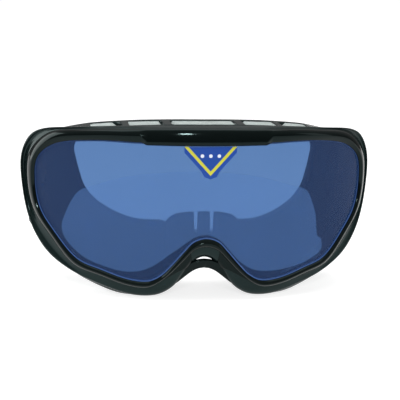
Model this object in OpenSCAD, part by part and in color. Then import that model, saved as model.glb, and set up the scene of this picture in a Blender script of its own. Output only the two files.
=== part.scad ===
/* [Frame] */
// Width over the frame's sides
frame_w = 183; // [170:1:200]
// Height of the frame, from its two lower lobes to the brow
frame_h = 87.7; // [80:0.1:96]
// Depth of the plastic frame at the middle of the brow
brow_depth = 34; // [30:1:40]
// Depth of the frame's sides, behind the ends of the lens
side_depth = 36; // [32:0.1:40]
// Thickness of the frame's walls
wall = 2.2; // [1.6:0.1:3]
// How far the skirt flares back from the lens before it turns rearward
skirt_depth = 8.5; // [7:0.1:11]

/* [Lens and rim] */
// Radius of the lens's outer face
lens_r = 120; // [112:1:135]
// Thickness of the lens
lens_t = 2; // [1.6:0.1:2.6]
// How far the rim covers the edge of the lens
lens_lap = 1.6; // [1:0.1:2]
// Thickness of the seal behind the lens
seal_t = 1; // [0.6:0.1:1.6]
// Width of the seal behind the lens
seal_w = 2.4; // [1.8:0.1:3]
// How far the rim's crest stands in front of the lens
rim_crest = 2; // [1.4:0.1:3]
// How far the brow tab hangs over the top of the lens
brow_tab_drop = 1.5; // [0.6:0.1:3]
// Half the width of the brow tab's lower edge
tab_half = 30; // [26:0.5:34]
// Width of the slant at each end of the brow tab
tab_slant = 2.6; // [2:0.1:4]

/* [Film and label] */
// Thickness of the film that dulls the view
film_t = 0.4; // [0.3:0.05:0.8]
// How far the film sits to one side
film_x = -3; // [-4:0.1:0]
// Turn of the film in the lens, in degrees
film_turn = 2.4; // [0:0.1:3]
// Width of the label's top edge
label_w = 26.2; // [20:0.2:30]
// Height of the label
label_h = 16.2; // [12:0.1:18]
// Thickness of the label
label_t = 0.15; // [0.1:0.05:0.3]
// How far the label sits to one side
label_x = 1.5; // [-3:0.1:3]

/* [Nose] */
// Thickness of the soft nose flap
flap_t = 1.6; // [1:0.1:2.4]
// Depth of the nose flap's back behind the front of the lens
flap_back = 18; // [15:0.5:21]
// Height of the nose flap above the nose arch
flap_rise = 20; // [17:0.5:22]
// Half the width of the nose flap
flap_half = 19; // [17:0.5:21]
// Width of the flap's slits at their open end
slit_w = 2.4; // [1.4:0.1:3.4]
// Depth of the flap's slits
slit_h = 11; // [6:0.5:12]
// Thickness of the bar across the nose arch, front to back
nose_bar_t = 3; // [2:0.1:4]

/* [Cushion] */
// Thickness of the face foam
foam_t = 12; // [8:0.5:16]
// How far the foam stays inside the frame's rear edge
foam_inset = 2; // [1:0.1:3]
// Thickness of the fleece on the foam
fleece_t = 1.2; // [0.8:0.1:2]
// Thickness of the foam strips behind the vents
vent_foam_t = 2.5; // [1.5:0.1:4]

/* [Strap] */
// Width of the elastic band
band_w = 24; // [20:1:28]
// Thickness of the elastic band
band_t = 1.6; // [1.2:0.1:2]
// Height of the clips' pivots above the table
pivot_z = 54; // [51:1:57]
// How far below level the strap hangs at rest, in degrees
droop = 18; // [14:1:21]
// Length of the band's straight run on each side
straight_run = 46; // [46:1:52]
// How far the loop reaches behind the straight runs
loop_reach = 34; // [30:1:42]
// Lean of the band where it lies on the table, in degrees
lean = 86; // [76:1:89]
// Turn of the rear loop at which the band comes down to the table, in degrees
land_at = 52; // [48:1:60]
// Length of the doubled-back end of the band
tail_run = 38; // [34:1:40]
// Distance from a clip's pivot to the bar that holds the band
bar_reach = 24; // [22:0.5:28]
// Thickness of the clips
clip_t = 2.2; // [1.8:0.1:3]
// Width of each bar of a clip
clip_bar = 3; // [2.4:0.1:3.6]
// Radius of the clips' pivot studs
stud_r = 2.5; // [2:0.1:3]
// Radius of the studs' heads
stud_head_r = 4.6; // [4:0.1:6]
// Length of a slider along the band
slider_l = 14; // [11:0.5:16]
// Thickness of a slider's walls
slider_wall = 1; // [0.8:0.1:1.6]

/* [Clearances] */
// Radial clearance of a clip on its stud
pin_clear = 0.05; // [0.03:0.01:0.08]
// Clearance between parts that move past each other
run_clear = 0.3; // [0.2:0.05:0.5]
// Clearance of the lens in the rim's pocket
fit_clear = 0.15; // [0.1:0.05:0.3]
// Depth of the glue line under the foam and the fleece
seat_gap = 0.2; // [0.1:0.05:0.3]

/* [Hidden] */
$fn = 64;

// Outlines seen from the front, from the nose up to the brow, right half only.
// They share their stations, so that each point faces the same one of the next outline.
lens_edge_pts = [[0, 31.5], [6.1, 29.7], [11, 24.7], [16.5, 18.3], [22.2, 12.5], [28.3, 9.4], [38.1, 9.8],
    [51.8, 13.8], [63.6, 18.1], [75.2, 31.1], [82, 41.7], [84.6, 55.4], [82, 67.5], [72.9, 74.6],
    [55.1, 79], [32.6, 79.2], [30, 79.4], [14.5, 79.4], [0, 79.4]];
rim_pts = [[0, 27.2], [5.6, 25.6], [11.3, 20], [17.9, 13.2], [23.9, 8.4], [29.5, 6], [38.7, 6.6],
    [52.4, 10.7], [65.5, 15.1], [77.2, 28.5], [85.3, 40.3], [88.6, 55.3], [86.7, 69.6], [76.6, 80.6],
    [57.6, 84.5], [33.5, 85.9], [30.1, 86.1], [14.6, 86.5], [0, 86.6]];
skirt_pts = [[0, 20.7], [4.8, 18.7], [9.8, 12.8], [15.3, 5.4], [22.2, 1.2], [29.4, 0], [38.7, 0.7],
    [52, 4.6], [65.5, 9.9], [78.2, 18.3], [86.9, 32], [91.5, 52.2], [91, 68.7], [83.3, 79.4],
    [62, 83.4], [34.9, 86.5], [29.7, 86.7], [14.7, 87], [0, 87.1]];
rear_pts = [[0, 19.9], [7.2, 18.6], [12.8, 12.7], [18.4, 6.3], [24, 2.2], [31, 0], [42, 0], [54, 3.6],
    [65.6, 9.8], [74, 20.4], [80.3, 33.4], [82.4, 51.4], [81.4, 66.4], [75.5, 77.3], [59.2, 83.3],
    [34.4, 86.6], [28.8, 87], [14.1, 87.6], [0, 87.7]];
opening_pts = [[0, 25], [7.6, 25.3], [13.4, 29.4], [18.9, 32.4], [25, 32.4], [31.2, 32.6], [39.2, 34.5],
    [47.4, 38], [54.2, 42.6], [59.6, 49.2], [62.2, 56.6], [63.9, 63], [65.2, 69.4], [59.2, 75.3],
    [46.4, 78.3], [32.4, 79.8], [27.3, 80.3], [13.3, 80.7], [0, 80.8]];
steps = 3;
across = frame_w / (2 * max([for (p = skirt_pts) p[0]]));
upward = frame_h / max([for (p = rear_pts) p[1]]);

function fit(o) = [for (p = o) [p[0] * across, p[1] * upward]];
function mirrored(h) = concat(h, [for (i = [len(h) - 2 : -1 : 1]) [-h[i][0], h[i][1]]]);
function knot(a, b) = sqrt(norm(b - a));
function curve_at(p0, p1, p2, p3, u) =
    let (a = knot(p0, p1), b = a + knot(p1, p2), c = b + knot(p2, p3), t = a + (b - a) * u)
    let (a1 = (p0 * (a - t) + p1 * t) / a)
    let (a2 = (p1 * (b - t) + p2 * (t - a)) / (b - a))
    let (a3 = (p2 * (c - t) + p3 * (t - b)) / (c - b))
    let (b1 = (a1 * (b - t) + a2 * t) / b, b2 = (a2 * (c - t) + a3 * (t - a)) / (c - a))
    (b1 * (b - t) + b2 * (t - a)) / (b - a);
function smooth(c, k) = let (n = len(c))
    [for (i = [0 : n - 1], j = [0 : k - 1])
        curve_at(c[(i + n - 1) % n], c[i], c[(i + 1) % n], c[(i + 2) % n], j / k)];
function outline(h) = smooth(mirrored(fit(h)), steps);
function inset(o, d) = let (n = len(o))
    [for (i = [0 : n - 1]) let (t = o[(i + 1) % n] - o[(i + n - 1) % n])
        o[i] + d * [-t[1], t[0]] / norm(t)];
function mix(a, b, t) = [for (i = [0 : len(a) - 1]) a[i] * (1 - t) + b[i] * t];

lens_edge = outline(lens_edge_pts);
rim = outline(rim_pts);
skirt = outline(skirt_pts);
rear = outline(rear_pts);
opening = outline(opening_pts);
function on_tab(p) = p[1] < frame_h / 2 ? 0
    : min(max((tab_half + tab_slant - abs(p[0])) / tab_slant, 0), 1);
rim_inner = [for (p = lens_edge) p - [0, brow_tab_drop * on_tab(p)]];
// The rim's crest comes further down on the tab.
rim_crest_edge = [for (i = [0 : len(rim) - 1]) let (t = 0.45 - 0.33 * on_tab(lens_edge[i]))
    rim_inner[i] * (1 - t) + rim[i] * t];

// Depths: the front follows the lens's cylinder, the rear follows the face.
function front_y(x, d) = lens_r - sqrt(pow(lens_r - d, 2) - x * x);
temple_sweep = front_y(max([for (p = rim) p[0]]), 0) + side_depth + skirt_depth / 2 - brow_depth;
function rear_y(x) = brow_depth + temple_sweep * pow(2 * x / frame_w, 2);
function front_ring(o, d, back = 0) = [for (p = o) [p[0], front_y(p[0], d) + back, max(p[1], 0)]];
function rear_ring(o, back) = [for (p = o) [p[0], rear_y(p[0]) + back, max(p[1], 0)]];
function skirt_y(x) = front_y(x, 0) + skirt_depth * (1 - 0.5 * pow(2 * x / frame_w, 2));
function skirt_ring(lift) = [for (p = inset(skirt, lift)) [p[0], skirt_y(p[0]), max(p[1], lift)]];
function shoulder_ring(lift) = let (a = inset(skirt, lift), b = inset(rear, lift))
    [for (i = [0 : len(a) - 1]) let (p = a[i] * 0.2 + b[i] * 0.8)
        [p[0], skirt_y(a[i][0]) * 0.9 + rear_y(b[i][0]) * 0.1, max(p[1], lift)]];

// A closed ring of closed sections.
module ring_solid(rings) {
    n = len(rings[0]);
    m = len(rings);
    polyhedron(points = [for (r = rings) each r], convexity = 8,
        faces = [for (j = [0 : m - 1], i = [0 : n - 1])
            let (a = j * n + i, b = j * n + (i + 1) % n, k = (j + 1) % m)
            let (c = k * n + (i + 1) % n, d = k * n + i)
            each [[a, b, c], [a, c, d]]]);
}

// A solid swept through sections, closed at both ends by a ladder of triangles.
module swept_solid(rings) {
    n = len(rings[0]);
    m = len(rings);
    end = (m - 1) * n;
    cap = [for (i = [0 : n / 2 - 2]) each [[i, i + 1, n - 2 - i], [i, n - 2 - i, n - 1 - i]]];
    polyhedron(points = [for (r = rings) each r], convexity = 6,
        faces = concat(cap, [for (f = cap) [end + f[2], end + f[1], end + f[0]]],
            [for (j = [0 : m - 2], i = [0 : n - 1])
                let (a = j * n + i, b = j * n + (i + 1) % n)
                each i < n / 2 ? [[a, b + n, b], [a, a + n, b + n]]
                    : [[a, a + n, b], [b, a + n, b + n]]]));
}

// A plate of the lens's curvature, cut to an outline seen from the front.
module curved_plate(points, outer_r, inner_r, centre_y) {
    intersection() {
        translate([0, 0, -10]) linear_extrude(frame_h + 20) difference() {
            translate([0, centre_y]) circle(outer_r, $fn = 180);
            translate([0, centre_y]) circle(inner_r, $fn = 180);
        }
        translate([0, lens_r, 0]) rotate([90, 0, 0]) linear_extrude(lens_r + 20) polygon(points);
    }
}

seat_d = lens_t + seal_t;
seal_in = seal_w - lens_lap;

// Places of the strap's parts.
clip_eye_r = stud_r + 3.2;
bar_x = max([for (p = rear) p[0]]) + 1.1 + run_clear + clip_t / 2;
seat_x = bar_x - clip_t / 2 - run_clear;
boss_x = seat_x - wall - 2;
cap_t = 1.4;
cap_r = stud_r + 1.2;
flange_clear = 1;
pivot_y = rear_y(boss_x - cap_t) - wall - cap_r - flange_clear;
wrap_r = norm([clip_bar, clip_t]) / 2 + band_t / 2 + fit_clear;
layer_gap = run_clear;
outer_layer_x = bar_x + (band_t + layer_gap) / 2;
inner_layer_x = bar_x - (band_t + layer_gap) / 2;
run_start = bar_reach + 10;
run_end = bar_reach + straight_run;
band_x = outer_layer_x;
slider_ahead = 26;
slider_at = bar_reach + slider_ahead;
run_end_z = pivot_z - run_end * sin(droop);
end_lift = run_end_z - band_w / 2 * cos(droop);
part_front = -rim_crest;
part_back = pivot_y + run_end * cos(droop) + loop_reach + band_w / 2 * sin(lean);
shift_y = -(part_front + part_back) / 2;

head_x = bar_x + clip_t / 2 + run_clear;
stud_head_t = 1;
module boss(side) {
    translate([side * boss_x, pivot_y, pivot_z]) rotate([0, side * 90, 0])
        cylinder(r = stud_r + 2.6, h = seat_x - boss_x);
}

module stud_bore(side) {
    translate([side * (boss_x - 1), pivot_y, pivot_z]) rotate([0, side * 90, 0])
        cylinder(r = stud_r, h = seat_x - boss_x + 2);
}

// Vents seen from above, as spans across the brow.
vent_spans = [[-16.5, 16.5], [20.5, 38.5], [-38.5, -20.5], [42.5, 57], [-57, -42.5]];
vent_front = 4;
vent_rear = 8;
module vent_cut(span) {
    a = span[0] * across;
    b = span[1] * across;
    m = (a + b) / 2;
    xs = [a, m, b];
    translate([0, 0, frame_h * 0.78]) linear_extrude(frame_h * 0.3)
        polygon(concat([for (x = xs) [x, skirt_y(x) + vent_front]],
            [for (x = [b, m, a]) [x, rear_y(x) - vent_rear]]));
}
lower_vents = [[47, 52], [54.5, 59.5], [62, 66]];
module lower_vent_cut(span, side) {
    a = span[0] * across;
    b = span[1] * across;
    translate([0, 0, -1]) linear_extrude(frame_h * 0.2)
        polygon([for (x = [a, b]) [side * x, skirt_y(x) + 7],
            for (x = [b, a]) [side * x, rear_y(x) - 9]]);
}

skirt_edge = [for (p = mix(rim, skirt, 0.9)) [p[0], skirt_y(p[0]) - 2.2, max(p[1], 0)]];
module frame_body() {
    color([0.07, 0.09, 0.09]) translate([0, shift_y, 0]) difference() {
        union() {
            ring_solid([
                front_ring(inset(lens_edge, seal_in), seat_d),
                front_ring(rim, seat_d),
                front_ring(mix(rim, skirt, 0.5), seat_d, 1.4),
                skirt_edge,
                skirt_ring(0),
                shoulder_ring(0),
                rear_ring(rear, -1),
                rear_ring(inset(rear, 1), 0),
                rear_ring(mix(rear, opening, 0.5), 0),
                rear_ring(inset(opening, -0.8), 0),
                rear_ring(opening, -0.8),
                rear_ring(opening, -wall),
                rear_ring(inset(rear, wall), -wall),
                shoulder_ring(wall),
                skirt_ring(wall),
                front_ring(inset(lens_edge, seal_in), seat_d + wall)]);
            boss(1);
            boss(-1);
        }
        stud_bore(1);
        stud_bore(-1);
        for (s = vent_spans) vent_cut(s);
        for (s = lower_vents, side = [-1, 1]) lower_vent_cut(s, side);
    }
}

module front_rim() {
    pocket = inset(lens_edge, -lens_lap - fit_clear);
    color([0.05, 0.06, 0.06]) translate([0, shift_y, 0]) ring_solid([
        front_ring(rim_inner, -0.02),
        front_ring(inset(rim_inner, -0.4), -rim_crest * 0.55),
        front_ring(rim_crest_edge, -rim_crest),
        front_ring(mix(rim_inner, rim, 0.8), -rim_crest * 0.75),
        front_ring(rim, 0.4),
        front_ring(rim, seat_d - 0.1),
        front_ring(pocket, seat_d - 0.1),
        front_ring(pocket, -0.02)]);
}

// Bar across the front of the nose arch: its lower and upper edge at each place to one side.
nose_bar_pts = [[0, 15, 19.2], [3, 14.6, 19.1], [6, 13.2, 18.4], [9, 10.9, 17], [12, 8.4, 13.8],
    [14.5, 6.4, 10.6]];
bar_ahead = 2.4;
bar_slant = 2.4;
bar_round = 0.8;
function nose_bar_section(x, low, high) =
    let (top = front_y(x, 0) + seat_d + bar_ahead, foot = top + bar_slant)
    [[x, foot + nose_bar_t / 2, low], [x, top + nose_bar_t, high], [x, top + bar_round, high],
        [x, top, high - bar_round], [x, foot - bar_round, low + bar_round], [x, foot, low]];
module nose_bar() {
    last = len(nose_bar_pts) - 1;
    rows = concat([for (i = [last : -1 : 1]) nose_bar_pts[i]], nose_bar_pts);
    color([0.06, 0.07, 0.07]) translate([0, shift_y, 0]) swept_solid([for (i = [0 : 2 * last])
        let (p = rows[i], side = i < last ? -1 : 1)
        nose_bar_section(side * p[0] * across, p[1] * upward,
            p[2] * upward)]);
}

module outer_lens() {
    color([0.2, 0.4, 0.8, 0.5]) translate([0, shift_y, 0])
        curved_plate(inset(lens_edge, -lens_lap), lens_r, lens_r - lens_t, lens_r);
}

module lens_seal() {
    color([0.12, 0.12, 0.13]) translate([0, shift_y, 0]) difference() {
        curved_plate(inset(lens_edge, -lens_lap), lens_r - lens_t, lens_r - seat_d, lens_r);
        translate([0, lens_r, 0]) rotate([90, 0, 0]) linear_extrude(lens_r + 20)
            polygon(inset(lens_edge, seal_in));
    }
}

film_half = [[0, 36.2], [6.2, 35], [12.2, 30.2], [17, 24.9], [23.6, 18.9], [31, 15.4], [39.2, 14.7],
    [48.7, 16], [59.7, 20.5], [66, 27.5], [66.5, 34.4], [63.4, 42.7], [57.4, 51.9], [47.6, 57],
    [34.6, 60.9], [20, 63.3], [0, 64.5]];
film_center = frame_h / 2;
function turned(o) = [for (p = o) let (x = p[0], z = p[1] - film_center)
    [film_x + x * cos(film_turn) + z * sin(film_turn),
        film_center + z * cos(film_turn) - x * sin(film_turn)]];
module simulation_film() {
    color([0.6, 0.7, 0.85, 0.4]) translate([0, shift_y, 0])
        curved_plate(turned(outline(film_half)), lens_r - lens_t, lens_r - lens_t - film_t, lens_r);
}

label_gap = 0.2;
module lens_label() {
    top = rim_inner[half_way][1] - label_gap;
    half = label_w / 2;
    right = [[half, 0], [half, -0.18], [half * 0.34, -0.77], [half * 0.24, -0.93], [0, -1]];
    points = concat([for (p = right) [p[0], p[1]]], [for (i = [3 : -1 : 0]) [-right[i][0], right[i][1]]]);
    color([0.1, 0.2, 0.6]) translate([0, shift_y, 0])
        curved_plate([for (p = points) [label_x + p[0], top + label_h * p[1]]],
            lens_r + label_t, lens_r, lens_r);
}

face_r = pow(frame_w / 2, 2) / (2 * temple_sweep);
slit_x = 3.7;
// The flap stands on the inner face of the arch. Its other edge goes from a side to the middle,
// as shares of its half width and drops below its top.
flap_seat = inset(mix(skirt, rear, 0.86), wall + run_clear);
flap_edge = [[1, 3.4], [0.72, 1.3], [0.45, 0.2], [0, 0]];
module nose_flap() {
    top = flap_seat[0][1] + flap_rise;
    foot = [for (i = [0 : half_way]) if (flap_seat[i][0] < flap_half && flap_seat[i][1] < frame_h / 2)
        flap_seat[i]];
    color([0.1, 0.11, 0.12]) translate([0, shift_y, 0]) difference() {
        curved_plate(mirrored(concat(foot, [for (p = flap_edge) [p[0] * flap_half, top - p[1]]])),
            face_r + flap_t, face_r, flap_back + face_r);
        for (side = [-1, 1]) translate([side * slit_x, brow_depth, 0]) rotate([90, 0, 0])
            linear_extrude(brow_depth) polygon([[-slit_w / 2, top + 1], [-slit_w * 0.3, top - slit_h],
                [slit_w * 0.3, top - slit_h], [slit_w / 2, top + 1]]);
    }
}

foam_outer = inset(rear, foam_inset);
foam_inner = inset(opening, 0.6);
module face_foam() {
    bulge = 0.8;
    color([0.16, 0.17, 0.18]) translate([0, shift_y, 0]) ring_solid([
        rear_ring(foam_outer, seat_gap),
        rear_ring(inset(foam_outer, -bulge), foam_t * 0.35),
        rear_ring(foam_outer, foam_t * 0.75),
        rear_ring(inset(foam_outer, 1.6), foam_t - fleece_t),
        rear_ring(mix(foam_outer, foam_inner, 0.5), foam_t),
        rear_ring(inset(foam_inner, -1.6), foam_t - fleece_t),
        rear_ring(foam_inner, foam_t * 0.75),
        rear_ring(inset(foam_inner, bulge), foam_t * 0.35),
        rear_ring(foam_inner, seat_gap),
        rear_ring(mix(rear, opening, 0.5), seat_gap)]);
}

module face_fleece() {
    color([0.2, 0.21, 0.22]) translate([0, shift_y, 0]) ring_solid([
        rear_ring(inset(foam_outer, 1.6), foam_t - fleece_t + seat_gap),
        rear_ring(inset(foam_outer, 1.4), foam_t),
        rear_ring(mix(foam_outer, foam_inner, 0.5), foam_t + fleece_t),
        rear_ring(inset(foam_inner, -1.4), foam_t),
        rear_ring(inset(foam_inner, -1.6), foam_t - fleece_t + seat_gap),
        rear_ring(mix(foam_outer, foam_inner, 0.5), foam_t + seat_gap)]);
}

// Foam under the vents: follows the inner face of the wall over a run of stations.
gap_in = fit_clear;
wall_front = skirt_ring(wall + gap_in);
wall_mid = shoulder_ring(wall + gap_in);
wall_back = rear_ring(inset(rear, wall + gap_in), -wall);
low_front = skirt_ring(wall + gap_in + vent_foam_t);
low_mid = shoulder_ring(wall + gap_in + vent_foam_t);
low_back = rear_ring(inset(rear, wall + gap_in + vent_foam_t), -wall);
function foam_section(i, a, b) = [
    wall_front[i] * (1 - a) + wall_mid[i] * a,
    wall_mid[i],
    wall_mid[i] * (1 - b) + wall_back[i] * b,
    low_mid[i] * (1 - b) + low_back[i] * b,
    low_mid[i],
    low_front[i] * (1 - a) + low_mid[i] * a];
function between(i, a, b) = let (f = floor(i), u = i - f)
    foam_section(f, a, b) * (1 - u) + foam_section(f + 1, a, b) * u;
module vent_foam(places, a, b) {
    color([0.62, 0.68, 0.67]) translate([0, shift_y, 0])
        swept_solid([for (i = places) between(i, a, b)]);
}

// Station numbers: 0 is the nose, half_way is the middle of the brow.
half_way = (len(lens_edge_pts) - 1) * steps;
turn = 2 * half_way;
center_places = [-9.8, -9, -6, -3, 0, 3, 6, 9, 9.8];
module vent_foam_center() {
    vent_foam([for (i = center_places) half_way + i], 0.35, 0.85);
}
module vent_foam_side(side) {
    vent_foam([for (i = side < 0 ? [-14 : 1 : -10] : [10 : 14]) half_way + i], 0.35, 0.85);
}
module vent_foam_right() { vent_foam_side(-1); }
module vent_foam_left() { vent_foam_side(1); }
module lower_vent_foam_right() { vent_foam([19 : 25], 0.6, 0.85); }
module lower_vent_foam_left() { vent_foam([turn - 25 : turn - 19], 0.6, 0.85); }

// Everything on the strap is placed along its droop, from the pivots' common line.
module on_strap() {
    translate([0, shift_y + pivot_y, pivot_z]) rotate([-droop, 0, 0]) children();
}

slot_side_clear = 0.8;
module clip(side) {
    half = band_w / 2 + slot_side_clear;
    rear_bar = bar_reach + clip_bar / 2;
    slot_l = 6;
    slot_front = rear_bar - clip_bar - slot_l;
    color([0.08, 0.09, 0.1]) on_strap() translate([side * bar_x - clip_t / 2, 0, 0])
        rotate([90, 0, 90]) linear_extrude(clip_t) difference() {
            union() {
                circle(clip_eye_r);
                polygon([[0, -clip_eye_r], [slot_front - 2, -half], [slot_front - 2, half],
                    [0, clip_eye_r]]);
                translate([slot_front - clip_bar, -half - clip_bar])
                    square([rear_bar - slot_front + clip_bar, 2 * (half + clip_bar)]);
            }
            circle(stud_r + pin_clear);
            translate([slot_front, -half]) square([slot_l, 2 * half]);
        }
}
module clip_left() { clip(-1); }
module clip_right() { clip(1); }

module clip_stud(side) {
    color([0.2, 0.21, 0.22]) translate([0, shift_y + pivot_y, pivot_z]) rotate([0, side * 90, 0]) {
        translate([0, 0, boss_x - cap_t]) cylinder(r = stud_r, h = head_x - boss_x + cap_t);
        translate([0, 0, head_x]) cylinder(r = stud_head_r, h = stud_head_t);
    }
}
module clip_stud_left() { clip_stud(-1); }
module clip_stud_right() { clip_stud(1); }

module stud_cap(side) {
    color([0.15, 0.15, 0.16]) translate([0, shift_y + pivot_y, pivot_z]) rotate([0, side * 90, 0])
        translate([0, 0, boss_x - cap_t]) difference() {
            cylinder(r = cap_r, h = cap_t);
            translate([0, 0, -1]) cylinder(r = stud_r, h = cap_t + 2);
        }
}
module stud_cap_left() { stud_cap(-1); }
module stud_cap_right() { stud_cap(1); }

// The band: a doubled-back end, a turn round the clip's bar, a straight run and half the rear loop.
function on_run(s, x) = [x, pivot_y + s * cos(droop), pivot_z - s * sin(droop)];
run_up = [0, sin(droop), cos(droop)];
run_dir = [0, cos(droop), -sin(droop)];
near_run = bar_reach + tail_run * 0.35;
far_run = bar_reach + tail_run * 0.7;
tail_stations = [for (s = [bar_reach + tail_run, far_run, near_run, run_start])
    [on_run(s, inner_layer_x), run_up, [-1, 0, 0]]];
wrap_stations = [for (a = [-90 : 30 : 90])
    [on_run(bar_reach - wrap_r * cos(a), bar_x + wrap_r * sin(a)), run_up,
        [sin(a), 0, 0] - run_dir * cos(a)]];
main_stations = [for (s = [run_start, near_run, far_run, run_end])
    [on_run(s, outer_layer_x), run_up, [1, 0, 0]]];
loop_steps = 18;
function ease(u) = let (v = min(max(u, 0), 1)) v * v * (3 - 2 * v);
function lean_at(q) = lean * ease((q - 8) / 66);
// The loop leaves the straight run at its slope and comes down level where it lands.
lift_bend = 2 - tan(droop) * loop_reach * land_at * PI / 180 / end_lift;
function down_at(q) = min(q / land_at, 1);
function lift_at(q) = let (u = down_at(q)) end_lift * pow(1 - u, 2) * (1 + lift_bend * u);
function pitch_at(q) = let (u = down_at(q))
    let (fall = end_lift / land_at * (1 - u) * (2 - lift_bend + 3 * lift_bend * u))
    atan(fall * 180 / PI / norm([band_x * sin(q), loop_reach * cos(q)]));
function loop_point(q) =
    [band_x * cos(q), pivot_y + run_end * cos(droop) + loop_reach * sin(q),
        band_w / 2 * cos(lean_at(q)) * cos(pitch_at(q)) + band_t / 2 * sin(lean_at(q)) + lift_at(q)];
function unit(v) = v / norm(v);
loop_stations = [for (k = [1 : loop_steps]) let (q = 90 * k / loop_steps)
    let (d = unit(loop_point(q + 1) - loop_point(q - 1)), flat = unit([d[1], -d[0], 0]))
    let (up = cross(flat, d), lean_q = lean_at(q))
    [loop_point(q), up * cos(lean_q) + flat * sin(lean_q), flat * cos(lean_q) - up * sin(lean_q)]];
half_band = concat(tail_stations, wrap_stations, main_stations, loop_stations);
function flipped(v) = [-v[0], v[1], v[2]];
band_stations = concat(half_band,
    [for (i = [len(half_band) - 2 : -1 : 0]) [for (v = half_band[i]) flipped(v)]]);
function band_section(s) = let (w = band_w / 2, t = band_t / 2, e = 0.5)
    [for (p = [[w - e, -t], [w, -t + e], [w, t - e], [w - e, t], [-w + e, t], [-w, t - e],
        [-w, -t + e], [-w + e, -t]]) s[0] + s[1] * p[0] + s[2] * p[1]];
module strap_band() {
    color([0.1, 0.1, 0.11]) translate([0, shift_y, 0])
        swept_solid([for (s = band_stations) band_section(s)]);
}

slider_lip = 2.2;
slider_rail = 1.5;
module slider(side) {
    half = band_w / 2 + run_clear;
    inner = 2 * band_t + layer_gap + 2 * run_clear;
    color([0.09, 0.1, 0.1]) on_strap() translate([side * bar_x, slider_at, 0]) difference() {
        cube([inner + 2 * slider_wall, slider_l, 2 * (half + slider_lip)], center = true);
        cube([inner, 2 * slider_l, 2 * half], center = true);
        for (end = [-1, 1]) translate([side * inner, end * slider_l * 0.22, 0])
            cube([2 * inner, slider_l * 0.26, 2 * (half - slider_rail)], center = true);
    }
}
module slider_left() { slider(-1); }
module slider_right() { slider(1); }

frame_body();
front_rim();
nose_bar();
outer_lens();
lens_seal();
simulation_film();
lens_label();
nose_flap();
face_foam();
face_fleece();
vent_foam_center();
vent_foam_left();
vent_foam_right();
lower_vent_foam_left();
lower_vent_foam_right();
clip_left();
clip_right();
clip_stud_left();
clip_stud_right();
stud_cap_left();
stud_cap_right();
strap_band();
slider_left();
slider_right();
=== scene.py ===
from math import atan, ceil, cos, floor, hypot, pi, radians, sin, sqrt, tan

import bmesh
import bpy
import numpy as np
from mathutils import Matrix, Vector


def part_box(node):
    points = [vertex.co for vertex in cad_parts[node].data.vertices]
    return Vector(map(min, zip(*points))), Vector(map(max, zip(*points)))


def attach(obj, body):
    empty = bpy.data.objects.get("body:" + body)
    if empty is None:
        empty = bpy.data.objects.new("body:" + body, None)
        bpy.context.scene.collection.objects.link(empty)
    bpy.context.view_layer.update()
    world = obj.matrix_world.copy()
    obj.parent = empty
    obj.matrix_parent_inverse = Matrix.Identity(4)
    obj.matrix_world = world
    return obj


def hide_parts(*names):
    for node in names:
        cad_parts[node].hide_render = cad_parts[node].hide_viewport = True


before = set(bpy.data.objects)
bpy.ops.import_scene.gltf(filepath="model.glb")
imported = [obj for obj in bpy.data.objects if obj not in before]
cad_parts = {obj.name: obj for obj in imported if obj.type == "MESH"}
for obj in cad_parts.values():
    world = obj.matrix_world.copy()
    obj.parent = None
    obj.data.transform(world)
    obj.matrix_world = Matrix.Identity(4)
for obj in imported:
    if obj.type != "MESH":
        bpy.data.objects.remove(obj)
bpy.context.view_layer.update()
scene = bpy.context.scene
mm = 0.001
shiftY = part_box("outer_lens")[0].y  # the lens's foremost line
print("frame loaded, lens front at", round(shiftY, 5))

# Outlines seen from the front, right half, from the nose up to the brow, in millimetres
lensEdge = [(0, 31.5), (6.1, 29.7), (11, 24.7), (16.5, 18.3), (22.2, 12.5), (28.3, 9.4),
            (38.1, 9.8), (51.8, 13.8), (63.6, 18.1), (75.2, 31.1), (82, 41.7), (84.6, 55.4),
            (83.2, 68.3), (74.6, 76), (55.1, 79.3), (32.6, 79.2), (30, 79.4), (14.5, 79.4),
            (0, 79.4)]
rimEdge = [(0, 27.2), (5.6, 25.6), (11.3, 20), (17.9, 13.2), (23.9, 8.4), (29.5, 6), (38.7, 6.6),
           (52.4, 10.7), (65.5, 15.1), (77.2, 28.5), (85.3, 40.3), (88.6, 55.3), (87.3, 70.2),
           (77.6, 81.1), (57.6, 84.5), (33.5, 85.9), (30.1, 86.1), (14.6, 86.5), (0, 86.6)]
skirtEdge = [(0, 20.7), (4.8, 18.7), (9.8, 12.8), (15.3, 5.4), (22.2, 1.2), (29.4, 0),
             (38.7, 0.7), (52, 4.6), (65.5, 9.9), (78.2, 18.3), (86.9, 32), (91.5, 52.2),
             (91.5, 69.8), (84.5, 81.1), (62, 84.8), (34.9, 86.7), (29.7, 86.7), (14.7, 87),
             (0, 87.1)]
rearEdge = [(0, 19.9), (7.2, 18.6), (12.8, 12.7), (18.4, 6.3), (24, 2.2), (31, 0), (42, 0),
            (54, 3.6), (65.6, 9.8), (74, 20.4), (80.3, 33.4), (82.4, 51.4), (81.4, 66.4),
            (75.5, 77.3), (59.2, 83.3), (34.4, 86.6), (28.8, 87), (14.1, 87.6), (0, 87.7)]
openingEdge = [(0, 25), (7.6, 25.3), (13.4, 29.4), (18.9, 32.4), (25, 32.4), (31.2, 32.6),
               (39.2, 34.5), (47.4, 38), (54.2, 42.6), (59.6, 49.2), (62.2, 56.6), (63.9, 63),
               (65, 70.6), (61.2, 76.6), (46.4, 79), (32.4, 79.8), (27.3, 80.3), (13.3, 80.7),
               (0, 80.8)]
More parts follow.
